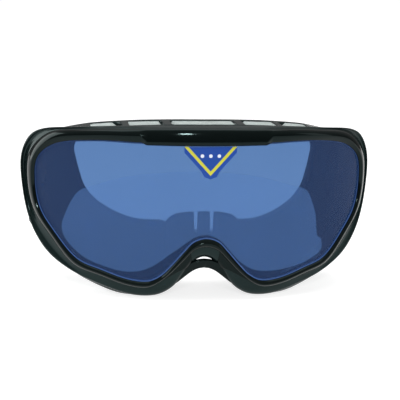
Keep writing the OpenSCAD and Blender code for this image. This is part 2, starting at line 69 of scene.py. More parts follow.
# The film's outline is a whole loop, because its two sides differ
filmEdge = [(0.4, 33), (5.6, 31.2), (8.9, 28.7), (12.4, 24.7), (15.9, 20.8), (19.5, 17.6),
            (23, 15.4), (28.4, 13.8), (33.8, 13.4), (39.3, 13.7), (45.8, 14.6), (50.5, 15.6),
            (56.5, 17.9), (62.2, 21.6), (61.9, 27.4), (59.8, 29.2), (58.4, 40), (56.4, 46.5),
            (52.7, 53.6), (43.5, 56.9), (32.5, 60.5), (16.7, 63.6), (-3.5, 65.1), (-23.2, 64.1),
            (-37.8, 62), (-52.3, 57.5), (-62.6, 52.6), (-66.1, 47.6), (-69, 41.1), (-71, 34.1),
            (-70.3, 29.6), (-66, 23.8), (-60, 19), (-52, 15.9), (-42.3, 13.6), (-37.4, 13.4),
            (-32.5, 14.1), (-27.6, 16), (-22.7, 19.2), (-17.8, 23.1), (-12.9, 26.6), (-9.6, 29.2),
            (-5.5, 31.8)]

goggle = {
    "width": 183.0,
    "height": 87.7,
    "lensRadius": 120.0,
    "lensThick": 2.0,
    "lensLap": 1.6,       # how far the rim covers the lens
    "sealThick": 1.0,
    "sealWidth": 2.4,
    "browDepth": 34.0,
    "sideDepth": 36.0,
    "skirtDepth": 8.5,
    "wall": 2.2,
    "shoulder": 0.06,     # share of the wall's depth where it turns from the skirt
    "shoulderRise": 0.8,  # share of the way up to the rear edge there
    "rimCrest": 2.0,
    "tabDrop": 1.5,       # brow tab: how far it hangs down, half its width, and its slanted ends
    "tabHalf": 30.0,
    "tabSlant": 2.6,
}
seatDepth = goggle["lensThick"] + goggle["sealThick"]
sealIn = goggle["sealWidth"] - goggle["lensLap"]


# A smooth curve through an outline's points, at places counted from the first of them
def curveAt(half, places, mirrored=True):
    loop = list(half) + ([(-x, z) for x, z in half[-2:0:-1]] if mirrored else [])
    loop = np.array(loop, float)
    places = np.asarray(places, float)
    i = np.floor(places).astype(int)
    u = (places - i)[:, None]
    p0, p1, p2, p3 = (loop[(i + k) % len(loop)] for k in (-1, 0, 1, 2))

    def knot(a, b):
        return np.sqrt(np.linalg.norm(b - a, axis=1))[:, None]

    a = knot(p0, p1)
    b = a + knot(p1, p2)
    c = b + knot(p2, p3)
    t = a + (b - a) * u

    def between(p, q, start, end):
        return (p * (end - t) + q * (t - start)) / (end - start)

    a1, a2, a3 = between(p0, p1, 0, a), between(p1, p2, a, b), between(p2, p3, b, c)
    return between(between(a1, a2, 0, b), between(a2, a3, a, c), a, b)


def inset(outline, d):
    t = np.roll(outline, -1, axis=0) - np.roll(outline, 1, axis=0)
    normal = np.stack([-t[:, 1], t[:, 0]], 1)
    return outline + d * normal / np.linalg.norm(normal, axis=1)[:, None]


def mix(a, b, t):
    return a * (1 - t) + b * t


def frontY(x, d):
    r = goggle["lensRadius"]
    return r - np.sqrt(np.maximum((r - d) ** 2 - x * x, 0))


def roundPlaces(half, steps):
    return np.arange(2 * (len(half) - 1) * steps) / steps


rimHalfWidth = curveAt(rimEdge, roundPlaces(rimEdge, 3))[:, 0].max()
templeSweep = (frontY(rimHalfWidth, 0) + goggle["sideDepth"] + goggle["skirtDepth"] / 2
               - goggle["browDepth"])


def acrossShare(x):
    return (2 * x / goggle["width"]) ** 2


def rearY(x):
    return goggle["browDepth"] + templeSweep * acrossShare(x)


def skirtY(x):
    return frontY(x, 0) + goggle["skirtDepth"] * (1 - 0.5 * acrossShare(x))


def ring(outline, y, lift=0.0):
    return np.stack([outline[:, 0], y, np.maximum(outline[:, 1], lift)], 1)


def frontRing(outline, d, back=0.0):
    return ring(outline, frontY(outline[:, 0], d) + back)


def rearRing(outline, back, lift=0.0):
    return ring(outline, rearY(outline[:, 0]) + back, lift)


def skirtRing(skirt, lift):
    o = inset(skirt, lift)
    return ring(o, skirtY(o[:, 0]), lift)


# The wall between the skirt and the rear edge: share 0 is the shoulder, 1 is the rear
def wallRing(skirt, rear, share, lift):
    share = np.asarray(share, float) * np.ones(len(skirt))
    a, b = inset(skirt, lift), inset(rear, lift)
    o = mix(mix(a, b, goggle["shoulderRise"]), b, share[:, None])
    yA = mix(skirtY(a[:, 0]), rearY(b[:, 0]), goggle["shoulder"])
    return ring(o, mix(yA, rearY(b[:, 0]) - 1, share), lift)


def addObject(name, data):
    obj = bpy.data.objects.new(name, data)
    scene.collection.objects.link(obj)
    return obj


def vertexArray(mesh, key="co"):
    return np.array([getattr(v, key) for v in mesh.vertices], float)


# Mesh builders: points are in millimetres behind the lens's foremost line
def meshObject(name, points, faces, material, body="goggles"):
    mesh = bpy.data.meshes.new(name)
    co = np.asarray(points, float) * mm + np.array([0, shiftY, 0])
    mesh.from_pydata(co.tolist(), [], [list(map(int, f)) for f in faces])
    bm = bmesh.new()
    bm.from_mesh(mesh)
    bmesh.ops.remove_doubles(bm, verts=bm.verts, dist=1e-7)
    bmesh.ops.delete(bm, geom=[v for v in bm.verts if not v.link_faces], context="VERTS")
    bmesh.ops.recalc_face_normals(bm, faces=bm.faces)
    bm.to_mesh(mesh)
    bm.free()
    mesh.polygons.foreach_set("use_smooth", [True] * len(mesh.polygons))
    obj = addObject(name, mesh)
    obj.data.materials.append(material)
    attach(obj, body)
    return obj


def gridFaces(rows, columns, closeRows=True, closeColumns=True, skip=None):
    faces = []
    for j in range(rows if closeRows else rows - 1):
        for i in range(columns if closeColumns else columns - 1):
            if skip and skip(j, i):
                continue
            k, h = (j + 1) % rows, (i + 1) % columns
            faces.append((j * columns + i, j * columns + h, k * columns + h, k * columns + i))
    return faces


def ringShell(name, rings, material):
    return meshObject(name, np.concatenate(rings), gridFaces(len(rings), len(rings[0])), material)


# A solid through cross sections, closed at both ends
def sectionSolid(name, sections, material, body="goggles"):
    points = np.array(sections, float)
    count, columns = points.shape[:2]
    faces = gridFaces(count, columns, closeRows=False)
    for end in (range(columns), range(count * columns - 1, (count - 1) * columns - 1, -1)):
        faces.append(tuple(end))
    return meshObject(name, points.reshape(-1, 3), faces, material, body)


# A plate between two grids of points, with walls round its edges and round its holes
def gridPlate(name, front, back, material, skip=None):
    rows, columns = front.shape[:2]
    n = rows * columns
    faces = gridFaces(rows, columns, False, False, skip)
    edges = dict.fromkeys((a, b) for f in faces for a, b in zip(f, f[1:] + f[:1]))
    walls = [(b, a, a + n, b + n) for a, b in edges if (b, a) not in edges]
    other = [tuple(v + n for v in reversed(f)) for f in faces]
    points = np.concatenate([front.reshape(-1, 3), back.reshape(-1, 3)])
    return meshObject(name, points, faces + other + walls, material)


# The piece is rounded by subdivision when levels are given, and the CAD solid it stands for is
# hidden
def fitPiece(piece, cadNode=None, levels=0):
    if levels:
        m = piece.modifiers.new("round", "SUBSURF")
        m.levels = m.render_levels = levels
    if cadNode:
        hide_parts(cadNode)
    return piece


# Shader node helpers
def link(tree, a, b):
    tree.links.new(a, b)


def node(tree, kind, inputs=None, **settings):
    n = tree.nodes.new("ShaderNode" + kind)
    for key, value in settings.items():
        setattr(n, key, value)
    for key, value in (inputs or {}).items():
        if isinstance(value, bpy.types.NodeSocket):
            tree.links.new(value, n.inputs[key])
        else:
            n.inputs[key].default_value = value
    return n


def newGroup(name, inputs, outputs):
    g = bpy.data.node_groups.new(name, "ShaderNodeTree")
    for label, value in inputs.items():
        s = g.interface.new_socket(label, in_out="INPUT", socket_type="NodeSocketFloat")
        s.default_value = value
    for label in outputs:
        g.interface.new_socket(label, in_out="OUTPUT", socket_type="NodeSocketFloat")
    return g, g.nodes.new("NodeGroupInput"), g.nodes.new("NodeGroupOutput")


def calc(tree, operation, a, b=0.5, c=0.5, clamp=False):
    return node(tree, "Math", {0: a, 1: b, 2: c}, operation=operation, use_clamp=clamp).outputs[0]


def objectPlace(tree):
    return node(tree, "TexCoord").outputs["Object"]


def noise(tree, place, scale, detail=2.0, rough=0.5):
    return node(tree, "TexNoise", {"Vector": place, "Scale": scale, "Detail": detail,
                                   "Roughness": rough}).outputs[0]


# Moulded plastic: slow ripple, fine grain and hair scratches
def buildMouldGroup():
    g, i, o = newGroup("mouldedSurface", {"Grain": 900.0, "Scratch": 0.3},
                       ("Height", "Rough", "Shade"))
    place = objectPlace(g)
    slow = noise(g, place, 55.0, 3.0)
    fine = noise(g, place, i.outputs["Grain"])
    stretch = node(g, "Mapping", {"Vector": place, "Scale": (90.0, 160.0, 1400.0),
                                  "Rotation": (0.3, 0.7, 0.2)})
    line = node(g, "MapRange", {"Value": noise(g, stretch.outputs[0], 1.0), "From Min": 0.66,
                                "From Max": 0.72})
    scratch = calc(g, "MULTIPLY", line.outputs[0], i.outputs["Scratch"])
    grained = calc(g, "MULTIPLY_ADD", fine, 0.35, slow)
    rough = calc(g, "MULTIPLY_ADD", slow, 0.5, -0.1)
    link(g, calc(g, "SUBTRACT", grained, scratch), o.inputs["Height"])
    link(g, calc(g, "MULTIPLY_ADD", scratch, 0.5, rough), o.inputs["Rough"])
    link(g, slow, o.inputs["Shade"])
    return g


# Open-cell foam: rounded pores of two sizes
def buildFoamGroup():
    g, i, o = newGroup("foamCells", {"Cells": 900.0}, ("Height", "Pore", "Shade"))
    place = objectPlace(g)
    bend = node(g, "TexNoise", {"Vector": place, "Scale": 300.0})
    moved = node(g, "MixRGB", {0: 0.004, 1: place, 2: bend.outputs[1]}).outputs[0]

    def cells(scale):
        return node(g, "TexVoronoi", {"Vector": moved, "Scale": scale}).outputs["Distance"]

    large = cells(i.outputs["Cells"])
    small = cells(calc(g, "MULTIPLY", i.outputs["Cells"], 2.3))
    pore = node(g, "MapRange", {"Value": large, "From Min": 0.5, "From Max": 0.15})
    link(g, calc(g, "MULTIPLY_ADD", small, 0.4, large), o.inputs["Height"])
    link(g, pore.outputs[0], o.inputs["Pore"])
    link(g, noise(g, place, 90.0), o.inputs["Shade"])
    return g


mouldGroup = buildMouldGroup()
foamGroup = buildFoamGroup()


def newMaterial(name, values):
    m = bpy.data.materials.new(name)
    m.use_nodes = True
    shader = m.node_tree.nodes["Principled BSDF"]
    for key, value in values.items():
        shader.inputs[key].default_value = value
    return m, m.node_tree, shader


def shadeBetween(tree, factor, dark, light):
    return node(tree, "Mix", {0: factor, 6: (*dark, 1.0), 7: (*light, 1.0)},
                data_type="RGBA").outputs[2]


def paint(tree, shader, factor, dark, light, socket="Base Color"):
    link(tree, shadeBetween(tree, factor, dark, light), shader.inputs[socket])


def roughen(tree, shader, height, strength, distance):
    b = node(tree, "Bump", {"Height": height, "Strength": strength, "Distance": distance})
    link(tree, b.outputs[0], shader.inputs["Normal"])


def mouldedMaterial(name, dark, light, rough, grain, scratch, bump, specular=0.2):
    m, tree, shader = newMaterial(name, {"Specular IOR Level": specular,
                                         "Specular Tint": (0.7, 1.0, 0.98, 1.0)})
    g = node(tree, "Group", {"Grain": grain, "Scratch": scratch}, node_tree=mouldGroup).outputs
    paint(tree, shader, g["Shade"], dark, light)
    r = node(tree, "MapRange", {"Value": g["Rough"], "To Min": rough[0], "To Max": rough[1]})
    link(tree, r.outputs[0], shader.inputs["Roughness"])
    roughen(tree, shader, g["Height"], bump, 0.0004)
    return m


def foamMaterial(name, dark, light, cells, bump):
    m, tree, shader = newMaterial(name, {"Roughness": 0.95, "Specular IOR Level": 0.15,
                                         "Sheen Weight": 0.15, "Sheen Roughness": 0.6})
    g = node(tree, "Group", {"Cells": cells}, node_tree=foamGroup).outputs
    tone = calc(tree, "MULTIPLY_ADD", g["Shade"], 0.5, calc(tree, "MULTIPLY", g["Pore"], -0.5))
    paint(tree, shader, calc(tree, "ADD", tone, 0.5, clamp=True), dark, light)
    roughen(tree, shader, g["Height"], bump, 0.0006)
    return m


# Moulded finishes: dark and light tone, roughness range, grain, scratches and bump
frameBlack = mouldedMaterial("frameBlack", (0.004, 0.009, 0.009), (0.009, 0.017, 0.017),
                             (0.14, 0.28), 1500.0, 0.25, 0.10, specular=0.22)
rimBlack = mouldedMaterial("rimBlack", (0.001, 0.002, 0.002), (0.003, 0.005, 0.005),
                           (0.07, 0.17), 1500.0, 0.2, 0.05, specular=0.16)
sealRubber = mouldedMaterial("sealRubber", (0.006, 0.006, 0.007), (0.012, 0.012, 0.013),
                             (0.5, 0.7), 2200.0, 0.1, 0.25)
noseRubber = mouldedMaterial("noseRubber", (0.006, 0.007, 0.008), (0.011, 0.013, 0.015),
                             (0.55, 0.75), 2200.0, 0.1, 0.30)
clipPlastic = mouldedMaterial("clipPlastic", (0.006, 0.008, 0.008), (0.013, 0.015, 0.016),
                              (0.32, 0.5), 2600.0, 0.3, 0.35, specular=0.35)
studPlastic = mouldedMaterial("studPlastic", (0.010, 0.012, 0.012), (0.020, 0.022, 0.023),
                              (0.2, 0.35), 2000.0, 0.4, 0.15, specular=0.4)
cushionFoam = foamMaterial("cushionFoam", (0.010, 0.011, 0.013), (0.045, 0.048, 0.055),
                           1100.0, 0.8)
ventFoam = foamMaterial("ventFoam", (0.28, 0.33, 0.32), (0.62, 0.70, 0.68), 1300.0, 0.9)


def buildLensMaterial():
    m, tree, shader = newMaterial("lensBlue", {
        "Roughness": 0.0, "Transmission Weight": 0.89, "IOR": 1.15, "Emission Strength": 1.0})
    paint(tree, shader, noise(tree, objectPlace(tree), 18.0), (0.083, 0.166, 0.330),
          (0.091, 0.181, 0.360))
    # painted glow: the emission paints a faint blue haze over the whole lens and a brighter line of
    # light just inside its edge, standing for light the tinted sheet gathers along its edge
    edge = node(tree, "Attribute", attribute_name="edgeGlow").outputs["Fac"]
    paint(tree, shader, edge, (0.005, 0.011, 0.036), (0.055, 0.11, 0.27), "Emission Color")
    return m


def buildFilmMaterial():
    m, tree, shader = newMaterial("filmHazeAndPaintedGlow", {"Roughness": 0.6, "Specular IOR Level": 0.1,
                                               "Emission Strength": 1.0})
    place = objectPlace(tree)
    # fine ruled lines, arched over the nose
    middle = node(tree, "VectorMath", {0: place, 1: (0.0007, 0.0, -0.012)}, operation="SUBTRACT")
    lines = node(tree, "TexWave", {"Vector": middle.outputs[0], "Scale": 250.0},
                 wave_type="RINGS", rings_direction="Y").outputs["Fac"]
    soft = noise(tree, place, 30.0)
    paint(tree, shader, lines, (0.42, 0.6, 0.95), (0.55, 0.75, 1.0))
    # painted glow: the emission stands in for light that comes through the film from behind
    paint(tree, shader, soft, (0.85, 0.94, 0.90), (0.97, 1.0, 1.0), "Emission Color")
    veil = calc(tree, "MULTIPLY_ADD", lines, 0.05, 0.18)
    link(tree, calc(tree, "MULTIPLY_ADD", soft, 0.04, veil), shader.inputs["Alpha"])
    return m


def buildFleeceMaterial():
    m, tree, shader = newMaterial("fleeceBlack", {"Roughness": 1.0, "Sheen Weight": 0.5,
                                                  "Sheen Roughness": 0.4,
                                                  "Specular IOR Level": 0.1})
    place = objectPlace(tree)
    nap = noise(tree, place, 1400.0, 4.0, 0.7)
    tuft = noise(tree, place, 320.0, 3.0)
    paint(tree, shader, tuft, (0.008, 0.008, 0.010), (0.035, 0.036, 0.042))
    roughen(tree, shader, calc(tree, "MULTIPLY_ADD", nap, 0.5, tuft), 0.8, 0.0008)
    return m


# Elastic webbing: ribs along the band and picks across it
def buildBandMaterial():
    m, tree, shader = newMaterial("strapElastic", {"Roughness": 0.85, "Sheen Weight": 0.25,
                                                   "Specular IOR Level": 0.25})
    uv = node(tree, "UVMap", uv_map="weave").outputs[0]
    along, across = node(tree, "SeparateXYZ", {0: uv}).outputs[:2]

    def ridges(turn):
        return calc(tree, "ABSOLUTE", calc(tree, "SINE", turn))

    rib = ridges(calc(tree, "MULTIPLY", across, pi))
    pick = ridges(calc(tree, "MULTIPLY_ADD", along, pi, calc(tree, "MULTIPLY", across, 1.5)))
    weave = calc(tree, "MULTIPLY", rib, calc(tree, "MULTIPLY_ADD", pick, 0.5, 0.5))
    fuzz = noise(tree, uv, 3.0, 3.0)
    tone = calc(tree, "MULTIPLY_ADD", fuzz, 0.4, calc(tree, "MULTIPLY", weave, 0.6))
    paint(tree, shader, tone, (0.004, 0.004, 0.005), (0.030, 0.031, 0.036))
    roughen(tree, shader, weave, 0.7, 0.0003)
    return m


lensBlue = buildLensMaterial()
filmHazeAndPaintedGlow = buildFilmMaterial()
fleeceBlack = buildFleeceMaterial()
strapElastic = buildBandMaterial()
print("materials built")

# Frame shell: stations along the outline, with pairs close together at the vents' sides
frameShell = {
    "steps": 4,               # stations to each span of the outline
    "level": 1,               # subdivision
    # whether in the upper half, x of both sides, start behind the skirt and end before the rear
    "vents": [(True, [(16.5, -16.5), (38.5, 20.5), (57, 42.5)], (1.9, 5.5)),
              (False, [(47, 52), (54.5, 59.5), (62, 66)], (7, 9))],
    "blend": (30, 50),        # heights between which the lower vents' lines turn into the top ones'
    "lip": 0.5,               # support line beside each opening, and the same in spans
    "lipSpan": 0.035,
    "clearSpan": 0.06,        # other stations keep this far away
    "firstShare": (0.03, 0.3),   # of the wall's depth, where the openings begin
    "lastShare": 0.94,
}
# Front wall, as shares of the way from the rim's edge to the skirt's, with the depth behind
# the lens's seat, or before the skirt's line where it is below zero
frontWall = [(0.25, 0.9), (0.6, 1.6), (0.88, -2.2), (0.97, -1.0)]


# Where the lower or the upper half of an outline passes x
def placeOf(half, x, upper):
    xs = np.array(half)[:, 0]
    spans = np.arange(xs.argmax(), len(xs))[::-1] if upper else np.arange(xs.argmax() + 1)
    return np.interp(x, xs[spans], spans)


def mirrorPlace(place):
    return 2 * (len(rearEdge) - 1) - place


def meanPlace(x, upper):
    return (placeOf(skirtEdge, x, upper) + placeOf(rearEdge, x, upper)) / 2


def shellStations():
    holes = []
    for upper, vents, ends in frameShell["vents"]:
        for a, b in vents:
            start, end = meanPlace(a, upper), meanPlace(abs(b), upper)
            if b < 0:         # the middle vent crosses to the other side
                holes.append((start, mirrorPlace(end)))
            else:
                holes += [(start, end), (mirrorPlace(end), mirrorPlace(start))]
    lip = frameShell["lipSpan"]
    fixed = [p for a, b in holes for p in (a - lip, a, b, b + lip)]
    kept = [p for p in roundPlaces(rearEdge, frameShell["steps"])
            if min(abs(p - f) for f in fixed) > frameShell["clearSpan"]]
    return np.array(sorted(kept + fixed)), holes


def buildFrameShell():
    places, holes = shellStations()
    lens, rim, skirt, rear, opening = (curveAt(h, places) for h in
                                       (lensEdge, rimEdge, skirtEdge, rearEdge, openingEdge))
    wall = goggle["wall"]
    low, high = frameShell["blend"]
    upper = np.clip((rear[:, 1] - low) / (high - low), 0, 1)
    yShoulder = mix(skirtY(skirt[:, 0]), rearY(rear[:, 0]), goggle["shoulder"])
    yEnd = rearY(rear[:, 0]) - 1
    depth = yEnd - yShoulder
    topEnds, lowEnds = (vents[2] for vents in frameShell["vents"])
    front, back = (mix(a, b, upper) for a, b in zip(lowEnds, topEnds))
    first = np.clip((skirtY(skirt[:, 0]) + front - yShoulder) / depth, *frameShell["firstShare"])
    last = (yEnd + 1 - back - yShoulder) / depth
    step = frameShell["lip"] / depth
    shares = [first - step, first, mix(first, last, 1 / 3), mix(first, last, 2 / 3), last,
              last + step, 0 * first + frameShell["lastShare"]]
    seat, flange = inset(lens, sealIn), mix(rear, opening, 0.5)
    rings = [frontRing(seat, seatDepth), frontRing(mix(lens, rim, 0.9), seatDepth),
             frontRing(rim, seatDepth + 0.2)]
    for share, d in frontWall:
        o = mix(rim, skirt, share)
        rings.append(frontRing(o, seatDepth, d) if d > 0 else ring(o, skirtY(o[:, 0]) + d))
    rings += [skirtRing(skirt, 0), ring(mix(skirt, rear, 0.12), skirtY(skirt[:, 0]) + 1.1),
              wallRing(skirt, rear, 0, 0)]
    hole0 = len(rings) + 1
    rings += [wallRing(skirt, rear, s, 0) for s in shares]
    # over the rear edge to the face opening, and back on the inside
    rings += [rearRing(o, d) for o, d in (
        (rear, -0.8), (inset(rear, 0.25), -0.2), (inset(rear, 1), 0), (flange, 0),
        (inset(opening, -1.2), 0), (inset(opening, -0.2), -0.3), (opening, -wall / 2),
        (inset(opening, -0.2), 0.3 - wall), (inset(opening, -1.2), -wall), (flange, -wall),
        (inset(rear, wall + 1), -wall))]
    innerStart = len(rings)
    rings += [wallRing(skirt, rear, s, wall) for s in reversed(shares)]
    rings += [wallRing(skirt, rear, 0, wall), skirtRing(skirt, wall),
              frontRing(mix(seat, inset(skirt, wall), 0.4), seatDepth + wall),
              frontRing(seat, seatDepth + wall)]
    points = np.stack(rings)                      # ring, station, xyz
    rows, columns = points.shape[:2]
    mirrorRow = {hole0 + k: innerStart + len(shares) - 2 - k for k in range(4)}
    cutRows = {hole0, hole0 + 1, hole0 + 2} | {mirrorRow[hole0 + k] for k in (1, 2, 3)}
    inside = [any(a < p < b for a, b in holes) for p in (places[:-1] + places[1:]) / 2] + [False]
    faces = gridFaces(rows, columns, skip=lambda j, i: inside[i] and j in cutRows)

    def throughWall(j, i, k, h):
        faces.append((j * columns + i, k * columns + h, mirrorRow[k] * columns + h,
                      mirrorRow[j] * columns + i))

    for i in np.flatnonzero(inside):
        for j in (hole0, hole0 + 3):
            throughWall(j, i, j, i + 1)
        for edge, other in ((i, i - 1), (i + 1, i + 1)):
            if not inside[other]:
                for j in (hole0, hole0 + 1, hole0 + 2):
                    throughWall(j, edge, j + 1, edge)
    return meshObject("frameShell", points.reshape(-1, 3), faces, frameBlack)


shell = fitPiece(buildFrameShell(), "frame_body", frameShell["level"])
print("frame shell", len(shell.data.polygons), "faces")

# Pivot bosses on the frame's sides: the CAD frame's are hidden with it, so they are made again
swivel = {"z": 54.0, "bossRadius": 5.1, "bossDepth": 4.2, "bore": 2.6, "round": 0.3,
          "clipGap": 0.3, "segments": 48}
studBox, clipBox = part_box("clip_stud_right"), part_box("clip_right")
pivot = np.array([0, ((studBox[0].y + studBox[1].y) / 2 - shiftY) / mm, swivel["z"]])


def buildBoss(name, side):
    seat = clipBox[0].x / mm - swivel["clipGap"]
    foot, rounding = seat - swivel["bossDepth"], swivel["round"]
    profile = [(foot, swivel["bore"]), (foot, swivel["bossRadius"]),
               (seat - rounding, swivel["bossRadius"]), (seat, swivel["bossRadius"] - rounding),
               (seat, swivel["bore"])]
    turns = [2 * pi * k / swivel["segments"] for k in range(swivel["segments"])]
    sections = [[(side * x, pivot[1] + r * cos(a), pivot[2] + r * sin(a))
                 for a in turns] for x, r in profile]
    fitPiece(sectionSolid(name, sections, frameBlack))


buildBoss("pivotBossRight", 1)
buildBoss("pivotBossLeft", -1)

# Front rim; the brow tab has stations of its own
rimRing = {"steps": 6, "level": 1, "play": 0.15, "tabStep": 0.04, "clear": 0.05}


def tabShare(outline):
    share = (goggle["tabHalf"] + goggle["tabSlant"] - np.abs(outline[:, 0])) / goggle["tabSlant"]
    return np.where(outline[:, 1] < goggle["height"] / 2, 0, np.clip(share, 0, 1))


# Extra stations at both ends of the tab's slants keep them straight
def rimPlaces():
    top = len(lensEdge) - 1
    near = np.linspace(top - 4, top, 400)
    x = curveAt(lensEdge, near)[:, 0]
    extra = []
    for edge in (goggle["tabHalf"], goggle["tabHalf"] + goggle["tabSlant"]):
        p = near[np.argmin(np.abs(x - edge))]
        for q in (p, 2 * top - p):
            extra += [q - rimRing["tabStep"], q, q + rimRing["tabStep"]]
    kept = [p for p in roundPlaces(lensEdge, rimRing["steps"])
            if min(abs(p - e) for e in extra) > rimRing["clear"]]
    return np.array(sorted(kept + extra))


def buildRim():
    places = rimPlaces()
    lens, rim = curveAt(lensEdge, places), curveAt(rimEdge, places)
    tab = tabShare(lens)
    inner = lens - np.stack([0 * tab, goggle["tabDrop"] * tab], 1)
    pocket = inset(lens, -goggle["lensLap"] - rimRing["play"])
    crest, foot = goggle["rimCrest"], seatDepth - 0.1

    def between(share, onTab):
        return mix(inner, rim, mix(share, onTab, tab)[:, None])

    return ringShell("frontRim", [frontRing(o, d) for o, d in (
        (inner, -0.02), (inner, -0.55), (between(0.05, 0.03), -0.95),
        (between(0.33, 0.07), -crest * 0.85), (between(0.45, 0.12), -crest),
        (between(0.55, 0.25), -crest * 0.98), (between(0.7, 0.5), -crest * 0.85),
        (mix(inner, rim, 0.86), -crest * 0.52), (mix(inner, rim, 0.96), -crest * 0.15),
        (rim, 0.5), (rim, 1.4), (rim, foot), (mix(rim, pocket, 0.5), foot), (pocket, foot),
        (pocket, -0.02))], rimBlack)


fitPiece(buildRim(), "front_rim", rimRing["level"])

# Beside the nose the rim widens down to the bar: share of the way to the skirt at each place
rimCheek = {"ends": [(1.3, 1.0), (1.6, 1.0), (2, 0.72), (2.5, 0.38), (3, 0.2), (3.5, 0.1),
                     (3.9, 0.03)],
            "proud": 0.35, "thick": 0.5}


def buildRimCheek(name, side):
    known, ends = np.array(rimCheek["ends"]).T
    places = np.linspace(known[0], known[-1], 28)
    rim, skirt = curveAt(rimEdge, places), curveAt(skirtEdge, places)
    shares, depths = np.array([(0, 0.1), *frontWall, (1, 0)]).T
    rows = []
    for u in np.linspace(-0.02, 1, 12):
        share = u * np.interp(places, known, ends)
        o = mix(rim, skirt, share[:, None])
        lensY = frontY(o[:, 0], 0)
        y = [np.interp(s, shares, depths + np.where(depths > 0, seatDepth, w))
             for s, w in zip(share, skirtY(o[:, 0]) - lensY)]
        rows.append(ring(o, lensY + y - rimCheek["proud"]))
    front = np.stack(rows) * np.array([side, 1, 1])
    back = front + np.array([0, rimCheek["thick"], 0])
    fitPiece(gridPlate(name, front, back, rimBlack))


buildRimCheek("rimCheekRight", 1)
buildRimCheek("rimCheekLeft", -1)


def lensLoop(steps, d=-goggle["lensLap"]):
    return inset(curveAt(lensEdge, roundPlaces(lensEdge, steps)), d)


# Seal behind the lens
sealOuter, sealInner = lensLoop(6), lensLoop(6, sealIn)
sealFront, sealBack = goggle["lensThick"] + 0.02, seatDepth - 0.03
seal = ringShell("lensSeal", [
    frontRing(sealOuter, sealFront), frontRing(sealInner, sealFront),
    frontRing(inset(sealInner, 0.1), seatDepth - 0.5), frontRing(sealInner, sealBack),
    frontRing(sealOuter, sealBack)], sealRubber)
fitPiece(seal, "lens_seal")


# A sheet on the lens's cylinder: rings that shrink towards a middle point
def curvedSheet(name, outline, middle, outerD, innerD, material, rings, edge=0.15, lines=()):
    n = len(outline)
    middle = np.array(middle, float)
    *near, last = [inset(outline, e) for e in (edge, *lines)]
    near += [middle + (last - middle) * (1 - k / rings) for k in range(rings)]
    bevel = min(edge, (innerD - outerD) * 0.3)
    stack = [frontRing(o, outerD) for o in reversed(near)]
    stack += [frontRing(outline, outerD + bevel), frontRing(outline, innerD - bevel)]
    stack += [frontRing(o, innerD) for o in near]
    rows = len(stack)
    stack.append([(middle[0], frontY(middle[0], d), middle[1]) for d in (outerD, innerD)])
    faces = gridFaces(rows, n, closeRows=False)
    for i in range(n):
        h = (i + 1) % n
        faces += [(rows * n, h, i), (rows * n + 1, (rows - 1) * n + i, (rows - 1) * n + h)]
    return meshObject(name, np.concatenate(stack), faces, material)


# The glow entries place the painted edge glow: its band inside the edge, its least strength at the
# top and the height it fades over
lensSheet = {"rings": 24, "lines": (0.9, 1.45, 1.65, 1.8, 1.95, 2.15),   # inside the edge
             "glowFrom": 1.45, "glowTo": 2.15, "glowTop": 0.25, "glowFade": 30}
lens = curvedSheet("outerLens", lensLoop(8), (0, 55), 0, goggle["lensThick"], lensBlue,
                   lensSheet["rings"], lines=lensSheet["lines"])


# The painted glow is a thin line of emitted light inside the lens's edge, weaker at the top
def markEdge(obj, outline):
    glow = obj.data.attributes.new("edgeGlow", "FLOAT", "POINT")
    co = vertexArray(obj.data) / mm
    gap = np.array([np.min(np.hypot(outline[:, 0] - x, outline[:, 1] - z)) for x, _, z in co])
    middle = (lensSheet["glowFrom"] + lensSheet["glowTo"]) / 2
    share = np.clip(1 - np.abs(gap - middle) / (middle - lensSheet["glowFrom"]), 0, 1)
    height = (goggle["height"] * 0.75 - co[:, 2]) / lensSheet["glowFade"]
    glow.data.foreach_set("value", share * np.clip(height, lensSheet["glowTop"], 1))


markEdge(lens, lensLoop(40))
fitPiece(lens, "outer_lens")

filmSheet = {"front": 2.05, "back": 2.4, "edge": 0.05, "steps": 6, "rings": 20}
filmPlaces = np.arange(filmSheet["steps"] * len(filmEdge)) / filmSheet["steps"]
film = curvedSheet("simulationFilm", curveAt(filmEdge, filmPlaces, mirrored=False), (-3, 45),
                   filmSheet["front"], filmSheet["back"], filmHazeAndPaintedGlow, filmSheet["rings"],
                   filmSheet["edge"])
fitPiece(film, "simulation_film")

label = {"x": 1.5, "top": 77.7, "half": 13.1, "height": 16.2, "slope": 1.1,
         "bandFrom": 12.3, "bandTo": 14.5, "dotDrop": 4.6, "dotStep": 4.2, "dotRadius": 0.9}


# Label print: deep blue, a chevron parallel to its slanted sides and three pale dots
def buildLabelMaterial():
    m, tree, shader = newMaterial("labelPrint", {"Roughness": 0.4, "Specular IOR Level": 0.2})
    split = node(tree, "SeparateXYZ", {0: objectPlace(tree)})
    x = calc(tree, "SUBTRACT", split.outputs[0], label["x"] * mm)
    height = calc(tree, "SUBTRACT", split.outputs[2], label["top"] * mm)
    slant = calc(tree, "MULTIPLY_ADD", calc(tree, "ABSOLUTE", x), label["slope"],
                 calc(tree, "MULTIPLY", height, -1.0))
    band = calc(tree, "MULTIPLY", calc(tree, "GREATER_THAN", slant, label["bandFrom"] * mm),
                calc(tree, "LESS_THAN", slant, label["bandTo"] * mm))
    dz = calc(tree, "ADD", height, label["dotDrop"] * mm)
    dots = 0.0
    for middle in (-label["dotStep"], 0.0, label["dotStep"]):
        dx = calc(tree, "SUBTRACT", x, middle * mm)
        apart = calc(tree, "ADD", calc(tree, "MULTIPLY", dx, dx), calc(tree, "MULTIPLY", dz, dz))
        dot = calc(tree, "LESS_THAN", apart, (label["dotRadius"] * mm) ** 2)
        dots = calc(tree, "MAXIMUM", dot, dots)
    ground = shadeBetween(tree, band, (0.010, 0.062, 0.33), (0.60, 0.58, 0.05))
    whole = node(tree, "Mix", {0: dots, 6: ground, 7: (0.75, 0.80, 0.88, 1.0)}, data_type="RGBA")
    link(tree, whole.outputs[2], shader.inputs["Base Color"])
    return m


